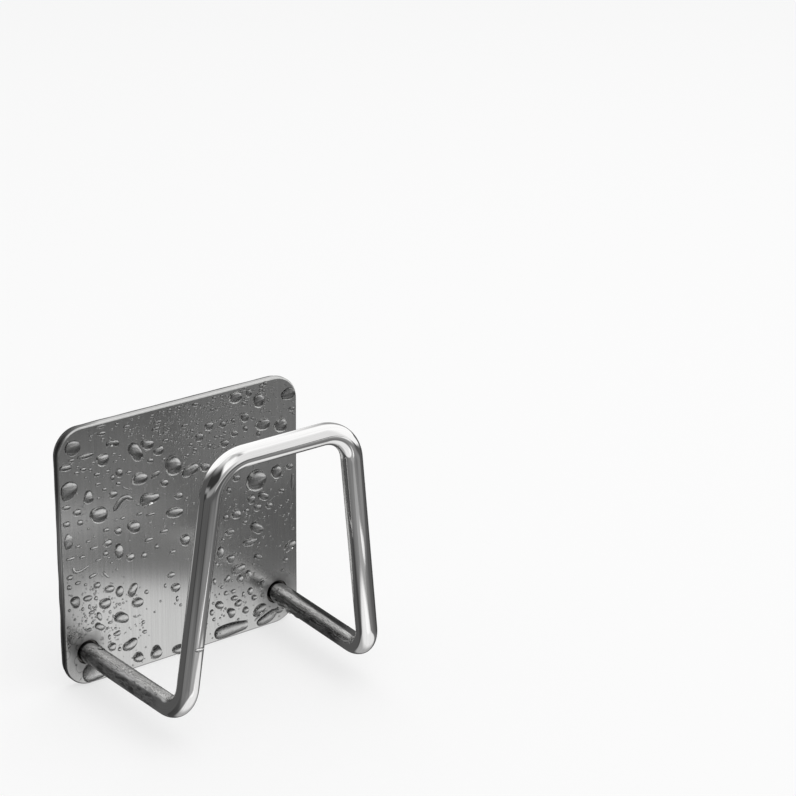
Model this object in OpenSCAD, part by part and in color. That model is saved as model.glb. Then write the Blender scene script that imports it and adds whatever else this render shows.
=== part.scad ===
// Adhesive sponge holder: a bent wire cradle welded through a flat back plate,
// which a thin adhesive pad sticks to a smooth wall.
// The origin is the centre of the pad's wall side, X runs along the wall to the right,
// -Y points out from the wall and +Z is up.

/* [Back plate] */
// Width of the plate, side to side
plate_w = 65; // [56:1:90]
// Height of the plate
plate_h = 64; // [50:1:90]
// Thickness of the sheet
plate_t = 1.5; // [1.2:0.1:3]
// Radius of the plate's four corners
plate_corner_r = 6.5; // [3:0.5:10]
// Radius that tumbling leaves along the front edge
plate_edge_r = 0.4; // [0.1:0.05:0.6]

/* [Wire cradle] */
// Diameter of the round wire
wire_d = 5; // [3:0.5:6]
// Distance from each leg's axis to the plate's side edge, at the front face
foot_inset = 6; // [5:0.5:12]
// Height of the legs' axes above the plate's bottom edge
foot_height = 8.25; // [6:0.25:16]
// Reach of the legs, from the plate's front face to the uprights' axes
leg_reach = 38.5; // [25:0.5:60]
// How far each leg closes in towards the middle on its way out
leg_toe_in = 1.25; // [0.25:0.25:3]
// Height of the top bar's axis above the legs' axes
cradle_rise = 58.75; // [35:0.25:80]
// How far each upright closes in towards the middle on its way up
upright_taper = 7.5; // [0.5:0.5:9]
// How far the uprights lean away from the plate on their way up
upright_lean = 2; // [0:0.5:5]
// Centre line radius of the bends where the legs turn up
low_bend_r = 7; // [4:0.5:10]
// Centre line radius of the bends at the top bar's ends
top_bend_r = 8.5; // [4:0.5:12]

/* [Wire holes and welds] */
// Gap round the wire in its hole
hole_clearance = 0.4; // [0.2:0.1:0.6]
// Depth of the weld in the plate's back
weld_depth = 0.8; // [0.4:0.1:1]
// How much wider than the hole the weld is at the plate's back
weld_flare = 0.8; // [0.3:0.1:1]

/* [Adhesive pad] */
// How far the pad stays inside the plate's outline
pad_margin = 0.25; // [0.1:0.05:2]
// Thickness of the pad's foam core
foam_t = 0.8; // [0.4:0.1:1.6]
// Thickness of each of the pad's two adhesive films
film_t = 0.1; // [0.05:0.05:0.2]

/* [Hidden] */
$fn = 96;

// How far a cut runs past the face it opens
overrun = 1;
// Flats round the wire, and steps in each of its bends
wire_sides = 32;
bend_steps = 10;

// The layers from the wall outwards
pad_t = foam_t + 2 * film_t;
rear_y = -pad_t;
front_y = rear_y - plate_t;

// The legs' line on the right side
leg_z = foot_height - plate_h / 2;
foot_x = plate_w / 2 - foot_inset;
low_x = foot_x - leg_toe_in;
low_y = front_y - leg_reach;

// The top bar's ends
top_x = low_x - upright_taper;
top_y = low_y - upright_lean;
top_z = leg_z + cradle_rise;

// The wire's holes
hole_r = wire_d / 2 + hole_clearance;
hole_y = (front_y + rear_y) / 2;

// The wire's route: its two ends, and the corners where its straight runs would meet
function leg_x(y) = low_x + leg_toe_in * (y - low_y) / leg_reach;
function tail(side) = [side * leg_x(rear_y), rear_y, leg_z];
function low_corner(side) = [side * low_x, low_y, leg_z];
function top_corner(side) = [side * top_x, top_y, top_z];

route = [tail(-1), low_corner(-1), top_corner(-1), top_corner(1), low_corner(1), tail(1)];
bend_radii = [0, low_bend_r, top_bend_r, top_bend_r, low_bend_r, 0];
last = len(route) - 1;

function unit(v) = v / norm(v);
function heading(i) = unit(route[i + 1] - route[i]);

// Stations along the centre line, each a point and a heading: the bends are arcs
// that both of their runs touch, taken in small equal turns
function bend_stations(i) =
    let (
        turn = acos(heading(i - 1) * heading(i)),
        r = bend_radii[i],
        inward = unit(heading(i) - heading(i - 1)),
        centre = route[i] + inward * r / cos(turn / 2),
        start = route[i] - heading(i - 1) * r * tan(turn / 2),
        spoke = unit(start - centre)
    )
    [for (k = [0:bend_steps])
        let (a = turn * k / bend_steps)
        [
            centre + r * (cos(a) * spoke + sin(a) * heading(i - 1)),
            cos(a) * heading(i - 1) - sin(a) * spoke,
        ]
    ];
stations = concat(
    [[route[0], heading(0)]],
    [for (i = [1:last - 1]) each bend_stations(i)],
    [[route[last], heading(last - 1)]]
);

// Each ring's first spoke is the one before it, turned square to the new heading,
// so the tube doesn't twist
function carried(i, spoke) =
    i == len(stations) ? [] :
    let (
        ahead = stations[i][1],
        square_spoke = unit(spoke - (spoke * ahead) * ahead)
    )
    concat([square_spoke], carried(i + 1, square_spoke));
spokes = carried(0, [0, 0, 1]);

// A point on the wire's skin. The first and last rings lie in the plate's back face
function skin_point(i, k) =
    let (
        a = 360 * k / wire_sides,
        ahead = stations[i][1],
        across = cross(ahead, spokes[i]),
        p = stations[i][0] + wire_d / 2 * (cos(a) * spokes[i] + sin(a) * across)
    )
    i == 0 || i == len(stations) - 1 ? p + ahead * (rear_y - p.y) / ahead.y : p;

// Half of the plate's edge in section: its outer front corner is rounded
module edge_profile() {
    square([plate_corner_r - plate_edge_r, plate_t]);
    square([plate_corner_r, plate_t - plate_edge_r]);
    translate([plate_corner_r - plate_edge_r, plate_t - plate_edge_r])
        circle(r = plate_edge_r);
}

// The blank: a middle block, four straight edges and four round corners
module plate_blank() {
    mid_w = plate_w - 2 * plate_corner_r;
    mid_h = plate_h - 2 * plate_corner_r;
    translate([-mid_w / 2, -plate_t, -mid_h / 2])
        cube([mid_w, plate_t, mid_h]);
    for (k = [0:3]) {
        out = (k % 2 == 0 ? mid_w : mid_h) / 2;
        along = (k % 2 == 0 ? mid_h : mid_w) / 2;
        rotate([0, 90 * k, 0]) {
            translate([out, 0, 0])
                rotate([180, 0, 0])
                    linear_extrude(2 * along, center = true)
                        edge_profile();
            translate([out, 0, along])
                rotate([90, 0, 0])
                    rotate_extrude(angle = 90)
                        edge_profile();
        }
    }
}

// The flared end of a wire hole, which the weld fills
module weld_seat(side) {
    translate([side * leg_x(hole_y), rear_y - weld_depth, leg_z])
        rotate([-90, 0, 0])
            cylinder(h = weld_depth, r1 = hole_r, r2 = hole_r + weld_flare);
}

// A bead round the wire's end, ground flush with the plate's back
module weld(side) {
    slant = atan(leg_toe_in / leg_reach);
    difference() {
        weld_seat(side);
        translate(low_corner(side))
            rotate([-90, 0, -side * slant])
                cylinder(h = leg_reach + plate_t + overrun, d = wire_d);
    }
}

// One layer of the pad, from depth y towards the plate
module pad_layer(y, thickness) {
    pad_w = plate_w - 2 * pad_margin;
    pad_h = plate_h - 2 * pad_margin;
    pad_r = plate_corner_r - pad_margin;
    translate([0, y, 0])
        rotate([90, 0, 0])
            linear_extrude(thickness) {
                square([pad_w - 2 * pad_r, pad_h], center = true);
                square([pad_w, pad_h - 2 * pad_r], center = true);
                for (x = [-1, 1], z = [-1, 1])
                    translate([x * (pad_w / 2 - pad_r), z * (pad_h / 2 - pad_r)])
                        circle(r = pad_r);
            }
}

// Brushed sheet with two round holes for the wire, flared at the back
module back_plate() {
    color([0.56, 0.56, 0.57])
        difference() {
            translate([0, rear_y, 0])
                plate_blank();
            for (side = [-1, 1]) {
                translate([side * leg_x(hole_y), front_y - overrun, leg_z])
                    rotate([-90, 0, 0])
                        cylinder(h = plate_t + 2 * overrun, r = hole_r);
                weld_seat(side);
            }
        }
}

// One length of round wire with four bends, its ends flush with the plate's back
module wire_cradle() {
    ring = [0:wire_sides - 1];
    lengths = [0:len(stations) - 2];
    points = [for (i = [0:len(stations) - 1], k = ring) skin_point(i, k)];
    function index(i, k) = i * wire_sides + k % wire_sides;
    sides = [for (i = lengths, k = ring) each [
        [index(i, k), index(i + 1, k), index(i + 1, k + 1)],
        [index(i, k), index(i + 1, k + 1), index(i, k + 1)],
    ]];
    ends = [
        [for (k = ring) index(0, k)],
        [for (k = ring) index(len(stations) - 1, wire_sides - 1 - k)],
    ];
    color([0.8, 0.8, 0.81])
        polyhedron(points, concat(sides, ends));
}

module left_weld() {
    color([0.42, 0.4, 0.38])
        weld(-1);
}

module right_weld() {
    color([0.42, 0.4, 0.38])
        weld(1);
}

// Adhesive between the plate and the foam
module plate_film() {
    color([0.3, 0.3, 0.31])
        pad_layer(-film_t - foam_t, film_t);
}

// Foam carrier that takes up the unevenness of the wall
module foam_core() {
    color([0.07, 0.07, 0.07])
        pad_layer(-film_t, foam_t);
}

// Adhesive that sticks to the wall
module wall_film() {
    color([0.3, 0.3, 0.31])
        pad_layer(0, film_t);
}

back_plate();
wire_cradle();
left_weld();
right_weld();
plate_film();
foam_core();
wall_film();
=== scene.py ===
import math

import bmesh
import bpy
import numpy as np
from mathutils import Matrix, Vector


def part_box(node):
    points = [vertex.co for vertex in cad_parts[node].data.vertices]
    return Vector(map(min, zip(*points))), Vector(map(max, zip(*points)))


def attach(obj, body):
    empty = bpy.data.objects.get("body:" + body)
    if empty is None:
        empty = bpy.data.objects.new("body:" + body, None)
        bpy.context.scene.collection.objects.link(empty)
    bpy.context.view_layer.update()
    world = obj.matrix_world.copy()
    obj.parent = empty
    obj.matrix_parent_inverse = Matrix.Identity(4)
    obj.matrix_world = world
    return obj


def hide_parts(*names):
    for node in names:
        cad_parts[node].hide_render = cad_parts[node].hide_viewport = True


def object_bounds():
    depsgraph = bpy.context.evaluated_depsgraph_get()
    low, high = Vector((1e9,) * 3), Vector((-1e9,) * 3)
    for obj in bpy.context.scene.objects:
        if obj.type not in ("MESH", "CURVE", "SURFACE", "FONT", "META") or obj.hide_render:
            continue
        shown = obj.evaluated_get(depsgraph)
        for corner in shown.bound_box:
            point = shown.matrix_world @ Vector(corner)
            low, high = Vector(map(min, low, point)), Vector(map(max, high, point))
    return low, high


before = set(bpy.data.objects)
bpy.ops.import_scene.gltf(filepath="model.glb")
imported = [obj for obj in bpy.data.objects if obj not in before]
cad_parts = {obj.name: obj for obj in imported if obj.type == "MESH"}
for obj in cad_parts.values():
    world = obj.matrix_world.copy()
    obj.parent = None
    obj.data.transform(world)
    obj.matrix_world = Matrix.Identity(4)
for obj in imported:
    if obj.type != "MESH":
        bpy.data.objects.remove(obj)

packed_low, packed_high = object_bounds()
mm = 0.001


# Camera
# A long lens looks at the holder from the front left and above, 38 degrees round from
# square on. The angles and the place were solved from the holder's own edges.
look_right_deg = 37.99
look_down_deg = 21.64
roll_deg = 0.752
lens_mm = 110.37
camera_place = (-0.27912, -0.44051, 0.23879)

camera = bpy.data.objects.new("camera", bpy.data.cameras.new("camera"))
bpy.context.scene.collection.objects.link(camera)
camera.data.sensor_width = 36
camera.data.lens = lens_mm
camera.data.clip_start = 0.01
camera.data.clip_end = 20
turn = Matrix.Rotation(math.radians(-look_right_deg), 4, "Z")
dip = Matrix.Rotation(math.radians(90 - look_down_deg), 4, "X")
roll = Matrix.Rotation(math.radians(roll_deg), 4, "Z")
camera.matrix_world = Matrix.Translation(camera_place) @ turn @ dip @ roll
bpy.context.scene.camera = camera


# Studio
# A white floor and a white surround, lit by one wide soft lamp overhead. Polished metal
# shows what stands round it: pieces that only give off light and are seen only in
# reflections, painted light as a hood that is white on the right, above and at a window in
# front and dark on the left, a dark wall with a white rim, and a grey table with a sheet.
bpy.context.scene.view_settings.view_transform = "Standard"
floor_half = 3.0
floor_z = packed_low.z - 0.05 * mm
table_z = -80 * mm
table_half = 0.48
wall_y = 0.2 * mm
wall_half = 0.30
wall_top = 0.25
hood_radius = 1.5


def stage_mesh(name, points, faces):
    """A thing of the studio, which isn't part of the holder."""
    mesh = bpy.data.meshes.new(name)
    mesh.from_pydata(points, [], faces)
    thing = bpy.data.objects.new(name, mesh)
    bpy.context.scene.collection.objects.link(thing)
    return thing


def flat_sheet(name, half, z):
    """A square in the plane of that height: four corners and one face that looks up."""
    corners = [(-half, -half, z), (half, -half, z), (half, half, z), (-half, half, z)]
    return stage_mesh(name, corners, [(0, 1, 2, 3)])


def hood_mesh(name, low_deg):
    """A dome over the holder: points on a sphere, by direction round it and angle above level.

    Directions are counted from straight out of the wall towards the right.
    """
    a = np.radians(np.arange(72) * 5)[None, :]
    e = np.radians(np.linspace(low_deg, 89.9, 30))[:, None]
    points = hood_radius * np.stack([np.cos(e) * np.sin(a), -np.cos(e) * np.cos(a), np.sin(e) + 0 * a], -1)
    i = np.arange(29)[:, None] * 72
    j = np.arange(72)[None, :]
    k = (j + 1) % 72
    faces = np.stack([i + j, i + k, i + 72 + k, i + 72 + j], -1).reshape(-1, 4)
    return stage_mesh(name, points.reshape(-1, 3).tolist(), faces.tolist())


def only_mirrored(thing):
    """The metal and the water show it, and it neither lights nor shades anything."""
    thing.visible_camera = False
    thing.visible_diffuse = False
    thing.visible_shadow = False
    thing.visible_volume_scatter = False


def new_material(name):
    """An empty material, with its node list and a function that joins two sockets.

    The functions below add to the material that was made last.
    """
    material = bpy.data.materials.new(name)
    material.use_nodes = True
    nodes = material.node_tree.nodes
    nodes.clear()
    return material, nodes, material.node_tree.links.new


def maths(kind, first, second=None, third=None):
    """One sum on numbers or sockets."""
    node = nodes.new("ShaderNodeMath")
    node.operation = kind
    for socket, value in zip(node.inputs, (first, second, third)):
        if value is None:
            continue
        if isinstance(value, (int, float)):
            socket.default_value = value
        else:
            join(value, socket)
    return node.outputs[0]


def times(first, *others):
    """Numbers or sockets multiplied together."""
    for other in others:
        first = maths("MULTIPLY", first, other)
    return first


def ramp(value, low, high, to_low=0.0, to_high=1.0):
    """A smooth step: to_low below low, to_high above high and an S curve in between."""
    node = nodes.new("ShaderNodeMapRange")
    node.interpolation_type = "SMOOTHSTEP"
    node.inputs["From Min"].default_value = low
    node.inputs["From Max"].default_value = high
    node.inputs["To Min"].default_value = to_low
    node.inputs["To Max"].default_value = to_high
    join(value, node.inputs["Value"])
    return node.outputs["Result"]


def own_place():
    """The place on the thing itself, in metres, as one socket."""
    return nodes.new("ShaderNodeTexCoord").outputs["Object"]


def split_up(vector):
    """The X, Y and Z of a place or a direction."""
    split = nodes.new("ShaderNodeSeparateXYZ")
    join(vector, split.inputs[0])
    return split.outputs


def glow(level):
    """The material only gives off white light of that strength."""
    light = nodes.new("ShaderNodeEmission")
    out = nodes.new("ShaderNodeOutputMaterial")
    join(level, light.inputs["Strength"])
    join(light.outputs[0], out.inputs["Surface"])


def oval(x, y, middle_x, middle_y, half_x, half_y, soft, turn_deg=0):
    """1 inside an oval and 0 outside it, in the plane of the two given axes.

    The distance from its middle is counted in half-widths, and falls off smoothly between
    1 - soft and 1 + soft.
    """
    c = math.cos(math.radians(turn_deg))
    s = math.sin(math.radians(turn_deg))
    from_x = maths("SUBTRACT", x, middle_x)
    from_y = maths("SUBTRACT", y, middle_y)
    across = maths("MULTIPLY_ADD", from_y, s / half_x, times(from_x, c / half_x))
    along = maths("MULTIPLY_ADD", from_y, c / half_y, times(from_x, -s / half_y))
    radius = maths("SQRT", maths("MULTIPLY_ADD", along, along, times(across, across)))
    return ramp(radius, 1 - soft, 1 + soft, 1.0, 0.0)


floor = flat_sheet("floor", floor_half, floor_z)
floor_paint, nodes, join = new_material("white_floor")
lit = nodes.new("ShaderNodeBsdfDiffuse")
lit.inputs["Color"].default_value = (0.86, 0.86, 0.86, 1)
white = nodes.new("ShaderNodeEmission")
white.inputs["Strength"].default_value = 1.0
seen = nodes.new("ShaderNodeLightPath").outputs
mix = nodes.new("ShaderNodeMixShader")
out = nodes.new("ShaderNodeOutputMaterial")
join(times(seen["Is Camera Ray"], 0.65), mix.inputs[0])
join(lit.outputs[0], mix.inputs[1])
join(white.outputs[0], mix.inputs[2])
join(mix.outputs[0], out.inputs["Surface"])
floor.data.materials.append(floor_paint)
floor.visible_glossy = False
floor.visible_transmission = False

table = flat_sheet("mirrored_table", table_half, table_z)
only_mirrored(table)
table_paint, nodes, join = new_material("glowing_table_with_pale_sheet")
axes = split_up(own_place())
# Pale places on the table, as the metal shows them, in millimetres: middle across and
# outwards, half widths, softness of the edge, turn in degrees and how much lighter
pale_places = [
    (16, -75, 70, 75, 0.10, -70, 0.72),
    (-10, -160, 50, 50, 0.15, 0, 0.17),
    (-5, -160, 100, 145, 0.50, -30, 0.14),
    (320, -355, 45, 150, 0.60, 60, 0.95),
    (75, 25, 40, 80, 0.35, 30, 0.16),
    (170, -195, 85, 40, 0.45, 10, 0.17),
    (-190, -90, 110, 100, 0.50, 0, 0.09),
    (45, -180, 40, 9, 0.30, 0, 0.75),
    (-140, -225, 15, 80, 0.60, -35, -0.07),
]
level = 0.11
for x, y, half_x, half_y, soft, turn_deg, lift in pale_places:
    spot = oval(axes["X"], axes["Y"], x * mm, y * mm, half_x * mm, half_y * mm, soft, turn_deg)
    level = maths("MULTIPLY_ADD", spot, lift, level)
# The table is dark at the wall's foot. Through water the view goes steeply down to there,
# or far out over the table, which is dim
unlit = ramp(axes["Y"], -58 * mm, -30 * mm, 1.0, 0.5)
seen = nodes.new("ShaderNodeLightPath").outputs
at_wall = ramp(axes["Y"], -73 * mm, -62 * mm, 0.0, 0.92)
far_out = ramp(axes["Y"], -220 * mm, -180 * mm, 0.6, 0.0)
dimmed = times(maths("ADD", at_wall, far_out), seen["Is Transmission Ray"])
glow(times(level, unlit, maths("SUBTRACT", 1.0, dimmed)))
table.data.materials.append(table_paint)

wall_corners = [(-wall_half, table_z), (wall_half, table_z), (wall_half, wall_top), (-wall_half, wall_top)]
wall = stage_mesh("mirrored_wall", [(x, wall_y, z) for x, z in wall_corners], [(0, 1, 2, 3)])
only_mirrored(wall)
wall_paint, nodes, join = new_material("glowing_wall_with_white_rim")
axes = split_up(own_place())
# The rim starts at the plate's top edge, and to the left it rises and grows softer. There
# is a grey spot on it at the right, and a light one on the wall at the left
leftwards = maths("MAXIMUM", maths("SUBTRACT", -20 * mm, axes["X"]), 0.0)
bend_up = maths("MULTIPLY_ADD", leftwards, 0.0075 / mm, 0.65)
edge_z = maths("MULTIPLY_ADD", leftwards, bend_up, 32 * mm)
soft = maths("MULTIPLY_ADD", leftwards, 0.5, 3 * mm)
rim = ramp(maths("DIVIDE", maths("SUBTRACT", axes["Z"], edge_z), soft), -1, 1)
grey_spot = oval(axes["X"], axes["Z"], 60 * mm, 50 * mm, 24 * mm, 36 * mm, 0.4)
light_spot = oval(axes["X"], axes["Z"], -37 * mm, -1 * mm, 10 * mm, 13 * mm, 0.5)
lift = times(rim, maths("MULTIPLY_ADD", grey_spot, -0.78, 1.08))
lift = maths("MULTIPLY_ADD", light_spot, 0.36, lift)
glow(maths("ADD", lift, 0.10))
wall.data.materials.append(wall_paint)

hood = hood_mesh("mirrored_hood", -20)
only_mirrored(hood)
hood_paint, nodes, join = new_material("hood_panels")
axes = split_up(own_place())
round_deg = times(maths("ARCTAN2", axes["X"], times(axes["Y"], -1.0)), 180 / math.pi)
rise_deg = times(maths("ARCSINE", maths("DIVIDE", axes["Z"], hood_radius)), 180 / math.pi)


def panel(middle_deg, half_deg, soft_deg, low_deg, high_deg, soft_rise, direction=round_deg):
    """1 on a panel of the hood and 0 off it: a soft-edged span round it times one upwards."""
    away = maths("WRAP", maths("SUBTRACT", direction, middle_deg), 180.0, -180.0)
    span = ramp(maths("ABSOLUTE", away), half_deg - soft_deg, half_deg + soft_deg, 1.0, 0.0)
    over = ramp(rise_deg, low_deg - soft_rise, low_deg + soft_rise)
    under = ramp(rise_deg, high_deg - soft_rise, high_deg + soft_rise, 1.0, 0.0)
    return times(span, over, under)


# The dark left side leans: its front edge is 24 degrees further round at 10 than at 50
leaning = maths("MINIMUM", maths("MAXIMUM", rise_deg, 10.0), 50.0)
leaning = maths("MULTIPLY_ADD", maths("SUBTRACT", leaning, 42.0), 0.6, round_deg)
fading = ramp(rise_deg, 31, 78, 0.04, 0.94)
seen = nodes.new("ShaderNodeLightPath").outputs
low_in_front = times(panel(42, 62, 4, -30, 5, 2), seen["Is Transmission Ray"])
panels = [
    (panel(29, 20, 10, -14, 44, 8), 0.90),
    (panel(-15, 62, 28, 60, 95, 8), 0.62),
    (panel(22, 9, 7, 46, 66, 6), 0.42),
    (panel(-88, 59, 6, -30, 95, 2, leaning), fading),
    (panel(2, 14, 5, 3, 13, 4), 0.52),
    (panel(-30, 44, 8, -8, 5, 4), 0.33),
    (panel(-82, 18, 8, 2, 12, 4), 0.32),
    (panel(-30, 56, 6, -30, -10, 3), 0.14),
    (panel(100, 32, 4, -30, -9, 3), 0.16),
    (low_in_front, 0.10),
]
level = ramp(rise_deg, -10, 10, 1.10, 1.17)
# Each panel hangs over what is there: the level goes to its own by its share
for share, own_level in panels:
    level = maths("MULTIPLY_ADD", share, maths("SUBTRACT", own_level, level), level)
glow(level)
hood.data.materials.append(hood_paint)

surround = bpy.data.worlds.new("white_surround")
surround.use_nodes = True
nodes = surround.node_tree.nodes
join = surround.node_tree.links.new
nodes.clear()
out = nodes.new("ShaderNodeOutputWorld")
sky = nodes.new("ShaderNodeBackground")
seen = nodes.new("ShaderNodeLightPath").outputs
shown = maths("MAXIMUM", seen["Is Glossy Ray"], seen["Is Transmission Ray"])
shown = maths("MAXIMUM", shown, seen["Is Camera Ray"])
join(maths("MULTIPLY_ADD", shown, 0.2, 0.8), sky.inputs["Strength"])
join(sky.outputs[0], out.inputs["Surface"])
bpy.context.scene.world = surround

softbox = bpy.data.objects.new("softbox", bpy.data.lights.new("softbox", "AREA"))
bpy.context.scene.collection.objects.link(softbox)
softbox.data.shape = "RECTANGLE"
softbox.data.size = 1.5
softbox.data.size_y = 1.1
softbox.data.energy = 6.5
softbox.location = (0.25, -0.10, 0.95)
facing = (-softbox.location).to_track_quat("-Z", "Y").to_matrix().to_4x4()
softbox.matrix_world = Matrix.Translation(softbox.location) @ facing
softbox.visible_glossy = False


# Back plate
# Stainless sheet 1.5 mm thick, blanked with round corners and two round holes. Tumbling
# has rounded its front edge, and its face is brushed upright, corner to corner.
plate_low, plate_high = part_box("back_plate")
plate_half_w = plate_high.x
plate_half_h = plate_high.z
face_y = plate_low.y
rear_y = plate_high.y
corner_r = 6.5 * mm
front_round = 0.4 * mm
rear_round = 0.12 * mm
foot_x = 26.5 * mm
leg_z = -23.75 * mm
hole_x = 26.524 * mm
hole_r = 2.9 * mm
hole_break = 0.15 * mm
weld_depth = 0.8 * mm
weld_flare = 0.8 * mm


def outline(count):
    """A rectangle with round corners as a smaller rectangle's points plus unit directions.

    Each point moves along a straight side while its direction stays, or stays in a corner
    while its direction turns, at even steps of length. It starts at the top middle and
    goes anticlockwise as seen from the front.
    """
    w = plate_half_w - corner_r
    h = plate_half_h - corner_r
    quarter = corner_r * math.pi / 2
    lengths = np.array([w, quarter, 2 * h, quarter, 2 * w, quarter, 2 * h, quarter, w])
    starts = np.concatenate([[0], np.cumsum(lengths)[:-1]])
    s = np.arange(count) / count * lengths.sum()
    k = np.searchsorted(starts, s, side="right") - 1
    t = (s - starts[k])[:, None]
    from_point = np.array([(0, h), (-w, h), (-w, h), (-w, -h), (-w, -h), (w, -h), (w, -h), (w, h), (w, h)])
    move = np.array([(-1, 0), (0, 0), (0, -1), (0, 0), (1, 0), (0, 0), (0, 1), (0, 0), (-1, 0)])
    from_angle = np.radians([90, 90, 180, 180, 270, 270, 360, 360, 450])
    turning = np.array([0, 1, 0, 1, 0, 1, 0, 1, 0]) / corner_r
    inner = from_point[k] + move[k] * t
    angle = from_angle[k] + turning[k] * t[:, 0]
    return inner, np.stack([np.cos(angle), np.sin(angle)], 1), s


def grid_faces(rows, columns, closed, inside_out=False):
    """Four-sided faces between neighbours of a grid, joined round if it is closed."""
    i = np.arange(rows - 1)[:, None]
    j = np.arange(columns if closed else columns - 1)[None, :]
    k = (j + 1) % columns
    faces = np.stack(
        [i * columns + j, (i + 1) * columns + j, (i + 1) * columns + k, i * columns + k], -1
    ).reshape(-1, 4)
    return faces[:, ::-1] if inside_out else faces


def make_piece(name, patches, material, weld_within=1e-7):
    """Joins grids of points into one closed mesh.

    A patch is its points, its faces and one pair of surface coordinates for each corner
    of each face. Points that lie together are merged, and every face is shaded smooth.
    """
    points = np.concatenate([p.reshape(-1, 3) for p, f, c in patches])
    starts = np.cumsum([0] + [p.size // 3 for p, f, c in patches[:-1]])
    faces = np.concatenate([f + first for (p, f, c), first in zip(patches, starts)])
    chart = np.concatenate([c.reshape(-1, 2) for p, f, c in patches])
    mesh = bpy.data.meshes.new(name)
    mesh.vertices.add(len(points))
    mesh.vertices.foreach_set("co", points.astype(np.float32).ravel())
    mesh.loops.add(faces.size)
    mesh.loops.foreach_set("vertex_index", faces.astype(np.int32).ravel())
    mesh.polygons.add(len(faces))
    mesh.polygons.foreach_set("loop_start", np.arange(0, faces.size, 4, dtype=np.int32))
    mesh.uv_layers.new(name="surface").data.foreach_set("uv", chart.astype(np.float32).ravel())
    mesh.update(calc_edges=True)
    joined = bmesh.new()
    joined.from_mesh(mesh)
    bmesh.ops.remove_doubles(joined, verts=joined.verts, dist=weld_within)
    bmesh.ops.dissolve_degenerate(joined, edges=joined.edges, dist=weld_within / 2)
    bmesh.ops.recalc_face_normals(joined, faces=joined.faces)
    joined.to_mesh(mesh)
    joined.free()
    mesh.shade_smooth()
    mesh.materials.append(material)
    piece = bpy.data.objects.new(name, mesh)
    bpy.context.scene.collection.objects.link(piece)
    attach(piece, "root")
    return piece


around = 640
inner_line, outward, run = outline(around)
half = around // 2


def face_patch(side, y, hole_edge, inset, turned):
    """Half of a flat face: straight lines from the hole's edge to the plate's edge.

    The plate's half outline, closed by its middle line, is seen from the hole's centre,
    and each line leaves the hole in the direction in which its end lies.
    """
    k = np.arange(half + 1) + (0 if side < 0 else half)
    rim = inner_line[k % around] + outward[k % around] * (corner_r - inset)
    top = plate_half_h - inset
    middle_z = np.linspace(side * top, -side * top, 162)[1:-1]
    loop = np.concatenate([rim, np.stack([0 * middle_z, middle_z], 1)])
    centre = np.array([side * hole_x, leg_z])
    spoke = loop - centre
    reach = np.linalg.norm(spoke, axis=1)[:, None]
    near = 0.05 * mm
    shares = [hole_edge + 0 * reach, hole_edge + near + 0 * reach]
    shares += [0.5 * (hole_edge + reach), reach - near, reach]
    flat = np.stack([centre + spoke / reach * r for r in shares])
    points = np.stack([flat[..., 0], np.full(flat.shape[:2], y), flat[..., 1]], -1)
    faces = grid_faces(len(shares), len(loop), True, turned)
    return points, faces, flat.reshape(-1, 2)[faces]


def plate_rim():
    """The plate's edge: a quarter round in front, a straight side and a small round behind,
    carried round the outline."""
    a = np.linspace(0, math.pi / 2, 9)
    front = np.stack([front_round * (np.sin(a) - 1), face_y + front_round * (1 - np.cos(a))], 1)
    b = np.linspace(0, math.pi / 2, 5)
    back = np.stack([rear_round * (np.cos(b) - 1), rear_y - rear_round * (1 - np.sin(b))], 1)
    side = np.array([[0, face_y + front_round + 0.05 * mm], [0, rear_y - rear_round - 0.05 * mm]])
    profile = np.concatenate([front, side, back])
    flat = inner_line[None] + outward[None] * (corner_r + profile[:, 0])[:, None, None]
    points = np.stack([flat[..., 0], np.repeat(profile[:, 1:], around, 1), flat[..., 1]], -1)
    faces = grid_faces(len(profile), around, True)
    chart = np.stack(np.broadcast_arrays(run[None, :], profile[:, 1:]), -1).reshape(-1, 2)
    return points, faces, chart[faces]


def hole_wall(side):
    """The wire's hole: a small round at its front edge, a straight wall and the weld's flare,
    carried round the hole. Its directions pass from the front face's lines to the back's."""
    centre = np.array([side * hole_x, leg_z])
    front_ring = face_patch(side, face_y, hole_r + hole_break, front_round, False)[0][0][:, [0, 2]] - centre
    back_ring = face_patch(side, rear_y, hole_r + weld_flare, rear_round, True)[0][0][:, [0, 2]] - centre
    a = np.linspace(0, math.pi / 2, 5)
    radius = np.concatenate([hole_r + hole_break * (1 - np.sin(a)), [hole_r, hole_r + weld_flare]])
    depth = np.concatenate([face_y + hole_break * (1 - np.cos(a)), [rear_y - weld_depth, rear_y]])
    share = ((depth - face_y) / (rear_y - face_y))[:, None, None]
    ring = front_ring / (hole_r + hole_break) * (1 - share) + back_ring / (hole_r + weld_flare) * share
    ring /= np.linalg.norm(ring, axis=2)[..., None]
    flat = centre + ring * radius[:, None, None]
    points = np.stack([flat[..., 0], np.repeat(depth[:, None], ring.shape[1], 1), flat[..., 1]], -1)
    faces = grid_faces(len(radius), ring.shape[1], True, True)
    return points, faces, flat.reshape(-1, 2)[faces]


def new_skin(settings):
    """The material's one shader, joined to its output, with these values on its sockets."""
    skin = nodes.new("ShaderNodeBsdfPrincipled")
    out = nodes.new("ShaderNodeOutputMaterial")
    for name, value in settings.items():
        skin.inputs[name].default_value = value
    join(skin.outputs[0], out.inputs["Surface"])
    return skin


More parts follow.
